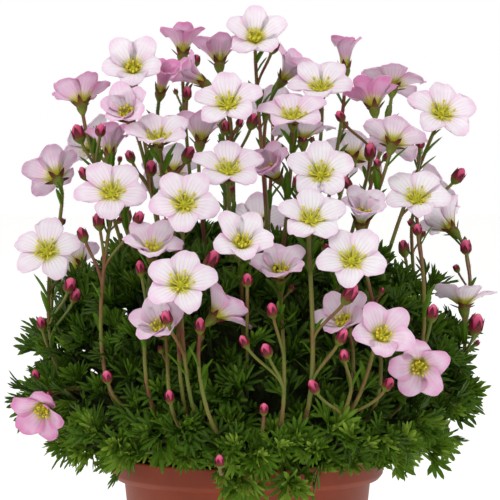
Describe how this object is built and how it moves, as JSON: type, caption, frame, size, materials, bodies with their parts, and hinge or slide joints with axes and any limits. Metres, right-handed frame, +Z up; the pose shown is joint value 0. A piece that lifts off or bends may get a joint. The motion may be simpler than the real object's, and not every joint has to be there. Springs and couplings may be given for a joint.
{
  "type": "potted mossy saxifrage",
  "caption": "Mossy saxifrage in bloom in a round plastic pot: a cushion of narrow-lobed leaves under pale pink five-petalled blooms on thin stems.",
  "frame": {"origin": "centre of the flat underside of the pot", "axes": "+Z up along the pot's axis, -Y to the side with the most blooms, which is its front, +X to the viewer's right there"},
  "size_m": [0.1839, 0.1908, 0.2618],
  "materials": {
    "terracotta_plastic": "matt, moulded",
    "potting_mix": "rough, crumbly",
    "foliage": "slightly glossy, thinly hairy",
    "petals": "matt, silky"
  },
  "bodies": {
    "root": {"pot": "terracotta_plastic", "soil": "potting_mix", "leafy_clump_1": "foliage", "leafy_clump_2": "foliage", "leafy_clump_3": "foliage", "leafy_clump_4": "foliage", "leafy_clump_5": "foliage", "bloom_01": "petals", "bloom_02": "petals", "bloom_03": "petals", "bloom_04": "petals", "bloom_05": "petals", "bloom_06": "petals", "bloom_07": "petals", "bloom_08": "petals", "bloom_09": "petals", "bloom_10": "petals", "bloom_11": "petals", "bloom_12": "petals", "bloom_13": "petals", "bloom_14": "petals", "bloom_15": "petals", "bloom_16": "petals", "bloom_17": "petals", "bloom_18": "petals", "bloom_19": "petals", "bloom_20": "petals", "bloom_21": "petals", "bloom_22": "petals", "bloom_23": "petals", "bloom_24": "petals", "bloom_25": "petals", "bloom_26": "petals", "bloom_27": "petals", "bloom_28": "petals", "bloom_29": "petals", "bloom_30": "petals", "bloom_31": "petals", "bloom_32": "petals", "bloom_33": "petals", "bloom_34": "petals", "bloom_35": "petals", "bloom_36": "petals", "bloom_37": "petals", "bloom_38": "petals", "bloom_39": "petals", "bloom_40": "petals", "bloom_41": "petals", "bloom_42": "petals", "bloom_43": "petals", "bloom_44": "petals", "bloom_45": "petals", "bloom_46": "petals", "bloom_47": "petals", "bloom_48": "petals", "bloom_49": "petals", "bloom_50": "petals", "bloom_51": "petals", "bloom_52": "petals"}
  },
  "joints": []
}
